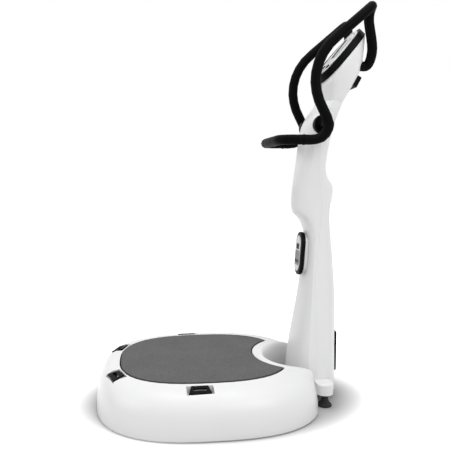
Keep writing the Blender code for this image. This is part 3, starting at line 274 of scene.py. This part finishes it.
def mat_rubber(name):
    """Grey standing mat: a gritty, pebbled top, and painted shade on the rolled edge, darker where its faces
    turn away from straight up.
    """
    mat, nodes, links, shader, coords = shader_graph(name)
    clouds = noise(nodes, links, coords, MAT_CLOUDS, MAT_CLOUD_DETAIL)
    grit = noise(nodes, links, coords, MAT_GRIT, CLOUD_DETAIL)
    top = ramp(nodes, links, grit, MAT_DARK, MAT_LIGHT, *MAT_GRIT_SPAN)
    pebble = nodes.new("ShaderNodeTexVoronoi")
    pebble.inputs["Scale"].default_value = MAT_PEBBLES
    links.new(coords, pebble.inputs["Vector"])
    speck = mix(nodes, "MULTIPLY")
    speck.inputs["Factor"].default_value = MAT_CELL_SHARE
    links.new(top, speck.inputs["A"])
    cell = ramp(nodes, links, pebble.outputs["Distance"], MAT_CELL_DARK, (1.0, 1.0, 1.0), *MAT_CELL_SPAN)
    links.new(cell, speck.inputs["B"])
    # Painted shade: the edge takes the dark rim colour as its faces tilt from straight up, in place of the
    # shadow in the gap round the mat
    facing = nodes.new("ShaderNodeNewGeometry")
    split = nodes.new("ShaderNodeSeparateXYZ")
    links.new(facing.outputs["Normal"], split.inputs["Vector"])
    edge = nodes.new("ShaderNodeMapRange")
    edge.inputs["From Min"].default_value, edge.inputs["From Max"].default_value = MAT_TOP_FACING
    links.new(split.outputs["Z"], edge.inputs["Value"])
    rim = mix(nodes)
    rim.inputs["A"].default_value = (*MAT_EDGE_SHADE, 1.0)
    links.new(edge.outputs["Result"], rim.inputs["Factor"])
    links.new(speck.outputs["Result"], rim.inputs["B"])
    links.new(rim.outputs["Result"], shader.inputs["Base Color"])
    links.new(spread(nodes, links, clouds, *MAT_ROUGHNESS), shader.inputs["Roughness"])
    grain = bump(nodes, links, pebble.outputs["Distance"], MAT_PEBBLE_STRENGTH, MAT_PEBBLE_DEPTH)
    links.new(grain, shader.inputs["Normal"])
    return mat


def screen_glass(name):
    """Grey display with a faint cell grid below a clear coat."""
    mat, nodes, links, shader, coords = shader_graph(name)
    grid = nodes.new("ShaderNodeTexBrick")
    grid.offset = 0.0
    grid.inputs["Scale"].default_value = SCREEN_CELLS
    grid.inputs["Mortar Size"].default_value = SCREEN_LINE_WIDTH
    for socket, colour in zip(("Color1", "Color2"), SCREEN_CELL_COLOURS):
        grid.inputs[socket].default_value = (*colour, 1.0)
    grid.inputs["Mortar"].default_value = (*SCREEN_LINE_COLOUR, 1.0)
    links.new(coords, grid.inputs["Vector"])
    links.new(grid.outputs["Color"], shader.inputs["Base Color"])
    smear = noise(nodes, links, coords, SCREEN_SMEARS, CLOUD_DETAIL)
    links.new(spread(nodes, links, smear, *SCREEN_ROUGHNESS), shader.inputs["Roughness"])
    shader.inputs["Coat Weight"].default_value = SCREEN_COAT
    return mat


WHITE = moulded("white_gloss", (0.83, 0.83, 0.832), 0.99, (0.30, 0.36), 900.0, 0.00002,
                cloud=3.0, specular=0.35)
BLACK = moulded("black_plastic", (0.0045, 0.0045, 0.0048), 0.75, (0.38, 0.50), 1500.0, 0.0002,
                specular=0.05)
GLOSSY = moulded("gloss_black", (0.012, 0.012, 0.0125), 0.8, (0.16, 0.24), 1500.0, 0.0001)
TUBE = moulded("black_tube", (0.0030, 0.0030, 0.0031), 0.8, (0.46, 0.58), 1100.0, 0.00006, specular=0.03)
RUBBER = moulded("black_rubber", (0.016, 0.016, 0.016), 0.7, (0.70, 0.85), 700.0, 0.0004)
MAT = mat_rubber("grey_mat")
SILVER = moulded("silver_face", (0.63, 0.63, 0.65), 0.97, (0.26, 0.36), 1300.0, 0.0001, metallic=0.15)
GLASS = screen_glass("screen_glass")
PAINTED = moulded("painted_steel", (0.20, 0.205, 0.21), 0.85, (0.40, 0.55), 500.0, 0.0002, metallic=0.4)
BARE = moulded("bare_steel", (0.55, 0.56, 0.57), 0.85, (0.22, 0.36), 300.0, 0.0001, metallic=1.0,
               stretch=(1.0, 12.0, 12.0))
SPINDLE = moulded("dark_steel", (0.05, 0.05, 0.052), 0.8, (0.30, 0.42), 500.0, 0.0001, metallic=0.6)
CASTING = moulded("motor_casting", (0.14, 0.145, 0.15), 0.8, (0.50, 0.65), 260.0, 0.0006, metallic=0.6)
BOARD = moulded("circuit_board", (0.03, 0.14, 0.055), 0.8, (0.35, 0.5), 200.0, 0.0003)

LOOKS = {"white_gloss": WHITE, "black_plastic": BLACK, "black_tube": TUBE, "black_rubber": RUBBER,
         "grey_mat": MAT, "silver_face": SILVER, "screen_glass": GLASS, "painted_steel": PAINTED,
         "bare_steel": BARE, "motor_casting": CASTING, "circuit_board": BOARD}
OWN_LOOKS = {"power_switch": GLOSSY, "power_socket": GLOSSY, "handle_standoff_left": SPINDLE,
             "handle_standoff_right": SPINDLE}


def smooth_group(angle):
    """Geometry nodes that join split corners, shade smooth and keep edges above an angle sharp."""
    group = bpy.data.node_groups.new(f"smooth_{math.degrees(angle):.0f}", "GeometryNodeTree")
    group.interface.new_socket("Geometry", in_out="INPUT", socket_type="NodeSocketGeometry")
    group.interface.new_socket("Geometry", in_out="OUTPUT", socket_type="NodeSocketGeometry")
    nodes, links = group.nodes, group.links
    start, end = nodes.new("NodeGroupInput"), nodes.new("NodeGroupOutput")
    merge = nodes.new("GeometryNodeMergeByDistance")
    merge.inputs["Distance"].default_value = WELD
    plain = nodes.new("GeometryNodeRemoveAttribute")
    plain.inputs["Name"].default_value = "custom_normal"
    faces = nodes.new("GeometryNodeSetShadeSmooth")
    edges = nodes.new("GeometryNodeSetShadeSmooth")
    edges.domain = "EDGE"
    fold = nodes.new("GeometryNodeInputMeshEdgeAngle")
    below = nodes.new("FunctionNodeCompare")
    below.operation = "LESS_THAN"
    below.inputs["B"].default_value = angle
    links.new(fold.outputs["Unsigned Angle"], below.inputs["A"])
    links.new(start.outputs[0], merge.inputs["Geometry"])
    links.new(merge.outputs["Geometry"], plain.inputs["Geometry"])
    links.new(plain.outputs["Geometry"], faces.inputs["Geometry"])
    links.new(faces.outputs["Geometry"], edges.inputs["Geometry"])
    links.new(below.outputs["Result"], edges.inputs["Shade Smooth"])
    links.new(edges.outputs["Geometry"], end.inputs[0])
    return group


def dress_nodes():
    """Give every node of the part its look and smooth shading, with creases along the column."""
    group = smooth_group(SMOOTH_ANGLE)
    creased = smooth_group(CREASE_ANGLE)
    for row in frame["record"]["subparts"]:
        node = row["node"]
        obj = NODES[node]
        obj.data.materials.clear()
        obj.data.materials.append(OWN_LOOKS.get(node, LOOKS[row["material_slot"]]))
        smooth = obj.modifiers.new("smooth_form", "NODES")
        smooth.node_group = creased if node in CREASED else group
        weighted = obj.modifiers.new("weighted", "WEIGHTED_NORMAL")
        weighted.keep_sharp = True


def piece(name, bm, look, body=ROOT):
    """Put a finished mesh in the scene; it rides on a body, or on none."""
    bmesh.ops.recalc_face_normals(bm, faces=bm.faces)
    mesh = bpy.data.meshes.new(name)
    bm.to_mesh(mesh)
    bm.free()
    mesh.materials.append(look)
    mesh.shade_smooth()
    mesh.set_sharp_from_angle(angle=TRIM_ANGLE)
    obj = bpy.data.objects.new(name, mesh)
    bpy.context.scene.collection.objects.link(obj)
    if body is not None:
        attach(obj, body)
    return obj


def around(count):
    """Angles of a full turn in equal steps."""
    return [2 * math.pi * k / count for k in range(count)]


def ring(bm, centre, across, up, radius, sides):
    """New corners in a circle round a point."""
    corners = []
    for a in around(sides):
        corners.append(bm.verts.new(Vector(centre) + radius * (across * math.cos(a) + up * math.sin(a))))
    return corners


def bridge(bm, rings, closed=False):
    """Faces from each ring to the next, and either back to the first ring or over both ends."""
    following = rings[1:] + rings[:1] if closed else rings[1:]
    for low, high in zip(rings, following):
        for i in range(len(low)):
            j = (i + 1) % len(low)
            bm.faces.new((low[i], low[j], high[j], high[i]))
    if not closed:
        bm.faces.new(rings[-1])
        bm.faces.new(rings[0])


def turned(foot, profile, sides):
    """Closed mesh turned round an upright axis, from heights above its foot and radii."""
    bm = bmesh.new()
    rings = []
    for z, radius in profile:
        rings.append(ring(bm, Vector(foot) + z * AXIS_Z, AXIS_X, AXIS_Y, radius, sides))
    bridge(bm, rings)
    return bm


def face_height(x):
    """Height of the arched console face above the console plane."""
    return FACE_EDGE_HEIGHT + FACE_CROWN * (1.0 - (x / FACE_HALF_WIDTH) ** 2)


def face_point(angle, inset):
    """Point on the console face, drawn in from its edge."""
    middle, half = (FACE_LOW + FACE_HIGH) / 2, (FACE_HIGH - FACE_LOW) / 2
    c, s = math.cos(angle), math.sin(angle)
    x = (FACE_HALF_WIDTH - inset) * math.copysign(abs(c) ** (2 / FACE_ROUNDNESS), c)
    y = middle + (half - inset) * math.copysign(abs(s) ** (2 / FACE_ROUNDNESS), s)
    return Vector((x, y, face_height(x)))


def console_trim():
    """A grey line round the console face, half sunk into it."""
    place = Matrix.Translation(CONSOLE_PLACE) @ Matrix.Rotation(CONSOLE_TILT, 4, "X")
    turn = place.to_3x3()
    up = turn @ AXIS_Z
    bm = bmesh.new()
    rings = []
    for angle in around(TRIM_POINTS):
        point = face_point(angle, TRIM_INSET)
        ahead = face_point(angle + TRIM_STEP_AHEAD, TRIM_INSET) - point
        along = turn @ ahead.normalized()
        across = along.cross(up).normalized()
        rings.append(ring(bm, place @ point, across, up, TRIM_RADIUS, TRIM_SIDES))
    bridge(bm, rings, closed=True)
    piece("console_trim_line", bm, PAINTED)


def rounded_outline(half_width, low, high, corner, steps=6):
    """Corners of a flat rectangle, each turned in a quarter circle."""
    points = []
    quarters = ((1, 1), (-1, 1), (-1, -1), (1, -1))
    for quarter, (across, up) in enumerate(quarters):
        x = across * (half_width - corner)
        y = high - corner if up > 0 else low + corner
        for k in range(steps + 1):
            a = math.pi / 2 * (quarter + k / steps)
            points.append((x + corner * math.cos(a), y + corner * math.sin(a)))
    return points


def round_outline(centre, radius, steps=20):
    return [(centre[0] + radius * math.cos(a), centre[1] + radius * math.sin(a)) for a in around(steps)]


def plate(outlines):
    """Mesh of a flat plate: the first outline is its edge and the others are holes through it."""
    curve = bpy.data.curves.new("plate_outline", "CURVE")
    curve.dimensions = "2D"
    curve.fill_mode = "BOTH"
    curve.extrude = PLATE_THICKNESS / 2
    for outline in outlines:
        spline = curve.splines.new("POLY")
        spline.points.add(len(outline) - 1)
        for point, (x, y) in zip(spline.points, outline):
            point.co = (x, y, 0.0, 1.0)
        spline.use_cyclic_u = True
    holder = bpy.data.objects.new("plate_outline", curve)
    bm = bmesh.new()
    mesh = holder.to_mesh()
    bm.from_mesh(mesh)
    holder.to_mesh_clear()
    bpy.data.objects.remove(holder)
    bpy.data.curves.remove(curve)
    bmesh.ops.remove_doubles(bm, verts=bm.verts, dist=PLATE_WELD)
    return bm


def remote_panels():
    """On the remote's face, a dark display window and a grey panel that the buttons come through."""
    lift = REMOTE_FACE_HEIGHT + PLATE_PROUD - PLATE_THICKNESS / 2
    place = Matrix.Translation(REMOTE_PLACE) @ Matrix.Rotation(REMOTE_TURN, 4, "X")
    place = place @ Matrix.Translation(lift * AXIS_Z)
    window = plate([rounded_outline(*REMOTE_WINDOW)])
    window.transform(place)
    piece("remote_display", window, BLACK)
    holes = [round_outline(centre, REMOTE_BUTTON_HOLE) for centre in REMOTE_BUTTONS]
    panel = plate([rounded_outline(*REMOTE_KEYPAD)] + holes)
    panel.transform(place)
    piece("remote_keypad", panel, PAINTED)


def handle_grips():
    """A cover over each length of the handle, shown in place of the tube, which is slimmer in the solids."""
    for length in ("front", "left", "right"):
        node = f"handle_{length}"
        tube = NODES[node].data
        bm = bmesh.new()
        corners = [bm.verts.new(vertex.co) for vertex in tube.vertices]
        for face in tube.polygons:
            bm.faces.new([corners[i] for i in face.vertices])
        bmesh.ops.remove_doubles(bm, verts=bm.verts, dist=WELD)
        bmesh.ops.recalc_face_normals(bm, faces=bm.faces)
        bm.normal_update()
        for corner in bm.verts:
            corner.co += corner.normal * GRIP_THICKNESS
        cover = piece(f"handle_grip_{length}", bm, TUBE)
        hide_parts(node)


def handle_collars():
    """A thin band over each joint of the handle tube."""
    x, y, z = COLLAR_PLACE
    half = COLLAR_WIDTH / 2
    crest = COLLAR_RADIUS + COLLAR_PROUD
    profile = ((-half, COLLAR_RADIUS), (-half + COLLAR_EDGE, crest), (half - COLLAR_EDGE, crest),
               (half, COLLAR_RADIUS))
    for side, sign in (("right", 1), ("left", -1)):
        bm = bmesh.new()
        rings = []
        for offset, radius in profile:
            rings.append(ring(bm, (sign * x, y + offset, z), AXIS_X, AXIS_Z, radius, COLLAR_SIDES))
        bridge(bm, rings, closed=True)
        piece(f"handle_collar_{side}", bm, TUBE)


def screw(bm, place, up):
    """A domed screw head with a cross slot pressed into it."""
    across = up.orthogonal().normalized()
    aside = up.cross(across)
    rings = []
    for lift, share in SCREW_DOME:
        centre = Vector(place) + up * SCREW_HEIGHT * lift
        rings.append(ring(bm, centre, across, aside, SCREW_RADIUS * share, SCREW_SIDES))
    floor = Vector(place) + up * SCREW_HEIGHT * SLOT_FLOOR
    slot = []
    for k, a in enumerate(around(SCREW_SIDES)):
        share = SLOT_LONG if k % 4 == 0 else SLOT_SHORT
        spoke = across * math.cos(a) + aside * math.sin(a)
        slot.append(bm.verts.new(floor + spoke * SCREW_RADIUS * share))
    bridge(bm, rings + [slot])


def panel_screws():
    """Four screws in the corners of the inlet panel."""
    low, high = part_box("inlet_panel")
    bm = bmesh.new()
    for x in (low.x + SCREW_MARGIN, high.x - SCREW_MARGIN):
        for z in (low.z + SCREW_MARGIN, high.z - SCREW_MARGIN):
            screw(bm, (x, PANEL_REAR_Y, z), AXIS_Y)
    piece("inlet_panel_screws", bm, BARE)


def socket_pins():
    """Three flat pins in the power socket."""
    low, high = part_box("power_socket")
    middle = (low.z + high.z) / 2
    back = low.y + PIN_FOOT
    half_w, half_h = PIN_SIZE
    corners = ((-half_w, -half_h), (half_w, -half_h), (half_w, half_h), (-half_w, half_h))
    bm = bmesh.new()
    for x, rise in PIN_PLACES:
        rings = []
        for reach, share in PIN_PROFILE:
            spots = [(x + dx * share, back + reach, middle + rise + dz * share) for dx, dz in corners]
            rings.append([bm.verts.new(spot) for spot in spots])
        bridge(bm, rings)
    piece("socket_pins", bm, BARE)


def mount_profile(height):
    """Heights and radii up a rubber mount: a pad at each end and a waist between them."""
    foot = [(0.0, MOUNT_RADIUS - MOUNT_LIP), (MOUNT_LIP, MOUNT_RADIUS), (MOUNT_PAD, MOUNT_RADIUS)]
    waist = []
    for k in range(1, MOUNT_STEPS):
        t = k / MOUNT_STEPS
        z = MOUNT_PAD + (height - 2 * MOUNT_PAD) * t
        waist.append((z, MOUNT_RADIUS - (MOUNT_RADIUS - MOUNT_WAIST) * math.sin(math.pi * t)))
    head = [(height - z, radius) for z, radius in reversed(foot)]
    return foot + waist + head


def rubber_mounts():
    """Rubber between the frame below and the platform above, riding on no body."""
    for row in ("front", "rear"):
        for side in ("left", "right"):
            node = f"isolator_{row}_{side}"
            low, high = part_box(node)
            x, y = (low.x + high.x) / 2, (low.y + high.y) / 2
            bm = turned((x, y, low.z), mount_profile(high.z - low.z), MOUNT_SIDES)
            mount = piece(f"rubber_mount_{row}_{side}", bm, RUBBER, body=None)
            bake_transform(mount)
            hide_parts(node)


def flared_feet():
    """Levelling feet with a flared rim, wider than the plain solids, which turn as they do."""
    for side in ("left", "right"):
        node = f"levelling_foot_{side}"
        low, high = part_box(node)
        x, y = (low.x + high.x) / 2, (low.y + high.y) / 2
        stud = ((FOOT_FLARE[-1][0], STUD_RADIUS), (high.z - low.z, STUD_RADIUS))
        bm = turned((x, y, low.z), FOOT_FLARE + stud, FOOT_SIDES)
        foot = piece(f"flared_foot_{side}", bm, RUBBER, body=node)
        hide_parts(node)


def seen_rays(nodes, links):
    """One for rays that show the background: from the camera, off a gloss or through glass."""
    path = nodes.new("ShaderNodeLightPath")
    seen = path.outputs["Is Camera Ray"]
    for kind in ("Is Glossy Ray", "Is Transmission Ray"):
        either = nodes.new("ShaderNodeMath")
        either.operation = "MAXIMUM"
        links.new(seen, either.inputs[0])
        links.new(path.outputs[kind], either.inputs[1])
        seen = either.outputs["Value"]
    return seen


def clear_of_base(nodes, links):
    """Nought on the floor below the machine, rising to one a short way beyond its base."""
    place = nodes.new("ShaderNodeTexCoord")
    oval = nodes.new("ShaderNodeMapping")
    oval.vector_type = "TEXTURE"
    oval.inputs["Location"].default_value = SHADOW_PLACE
    oval.inputs["Scale"].default_value = SHADOW_OVAL
    links.new(place.outputs["Object"], oval.inputs["Vector"])
    reach = nodes.new("ShaderNodeVectorMath")
    reach.operation = "LENGTH"
    links.new(oval.outputs["Vector"], reach.inputs[0])
    level = nodes.new("ShaderNodeMapRange")
    level.interpolation_type = "SMOOTHSTEP"
    level.inputs["From Min"].default_value, level.inputs["From Max"].default_value = SHADOW_FADE
    links.new(reach.outputs["Value"], level.inputs["Value"])
    return level.outputs["Result"]


def make_floor():
    """A floor painted darker round the base, to deepen the shadow there, that shows white beyond it."""
    bm = bmesh.new()
    corners = ((-1, -1), (1, -1), (1, 1), (-1, 1))
    bm.faces.new([bm.verts.new((x * FLOOR_HALF, y * FLOOR_HALF, 0.0)) for x, y in corners])
    mesh = bpy.data.meshes.new("floor")
    bm.to_mesh(mesh)
    bm.free()
    mat = bpy.data.materials.new("floor_pale")
    mat.use_nodes = True
    nodes, links = mat.node_tree.nodes, mat.node_tree.links
    nodes.clear()
    out = nodes.new("ShaderNodeOutputMaterial")
    both = nodes.new("ShaderNodeAddShader")
    paint = nodes.new("ShaderNodeBsdfDiffuse")
    away = clear_of_base(nodes, links)
    links.new(ramp(nodes, links, away, FLOOR_NEAR, FLOOR_FAR, 0.0, 1.0), paint.inputs["Color"])
    glow = nodes.new("ShaderNodeEmission")
    glow.inputs["Color"].default_value = (*FLOOR_GLOW, 1.0)
    shown = nodes.new("ShaderNodeMath")
    shown.operation = "MULTIPLY"
    links.new(away, shown.inputs[0])
    links.new(seen_rays(nodes, links), shown.inputs[1])
    links.new(shown.outputs["Value"], glow.inputs["Strength"])
    links.new(paint.outputs["BSDF"], both.inputs[0])
    links.new(glow.outputs["Emission"], both.inputs[1])
    links.new(both.outputs["Shader"], out.inputs["Surface"])
    mesh.materials.append(mat)
    floor = bpy.data.objects.new("floor", mesh)
    bpy.context.scene.collection.objects.link(floor)


def make_world():
    """White where it is seen, a dimmer even fill for the object."""
    world = bpy.data.worlds.new("studio")
    bpy.context.scene.world = world
    world.use_nodes = True
    nodes, links = world.node_tree.nodes, world.node_tree.links
    back = nodes["Background"]
    level = nodes.new("ShaderNodeMapRange")
    level.inputs["To Min"].default_value = WORLD_FILL
    level.inputs["To Max"].default_value = 1.0
    links.new(seen_rays(nodes, links), level.inputs["Value"])
    links.new(level.outputs["Result"], back.inputs["Strength"])
    back.inputs["Color"].default_value = (1.0, 1.0, 1.0, 1.0)


def softbox(name, place, target, size, watts):
    data = bpy.data.lights.new(name, "AREA")
    data.shape = "RECTANGLE"
    data.size, data.size_y = size
    data.energy = watts
    lamp = bpy.data.objects.new(name, data)
    lamp.location = place
    aim = Vector(target) - Vector(place)
    lamp.rotation_euler = aim.to_track_quat("-Z", "Y").to_euler()
    bpy.context.scene.collection.objects.link(lamp)


def make_camera():
    data = bpy.data.cameras.new("photo_camera")
    data.lens = CAMERA_LENS
    data.sensor_width = CAMERA_SENSOR
    camera = bpy.data.objects.new("photo_camera", data)
    camera.location = CAMERA_PLACE
    level, drop = math.cos(CAMERA_PITCH), math.sin(CAMERA_PITCH)
    forward = Vector((-math.sin(CAMERA_HEADING) * level, math.cos(CAMERA_HEADING) * level, -drop))
    camera.rotation_euler = forward.to_track_quat("-Z", "Y").to_euler()
    bpy.context.scene.collection.objects.link(camera)
    bpy.context.scene.camera = camera


dress_nodes()
console_trim()
remote_panels()
handle_grips()
handle_collars()
panel_screws()
socket_pins()
rubber_mounts()
flared_feet()
make_floor()
make_world()
for lamp in LAMPS:
    softbox(*lamp)
make_camera()
bpy.context.scene.view_settings.view_transform = "Standard"
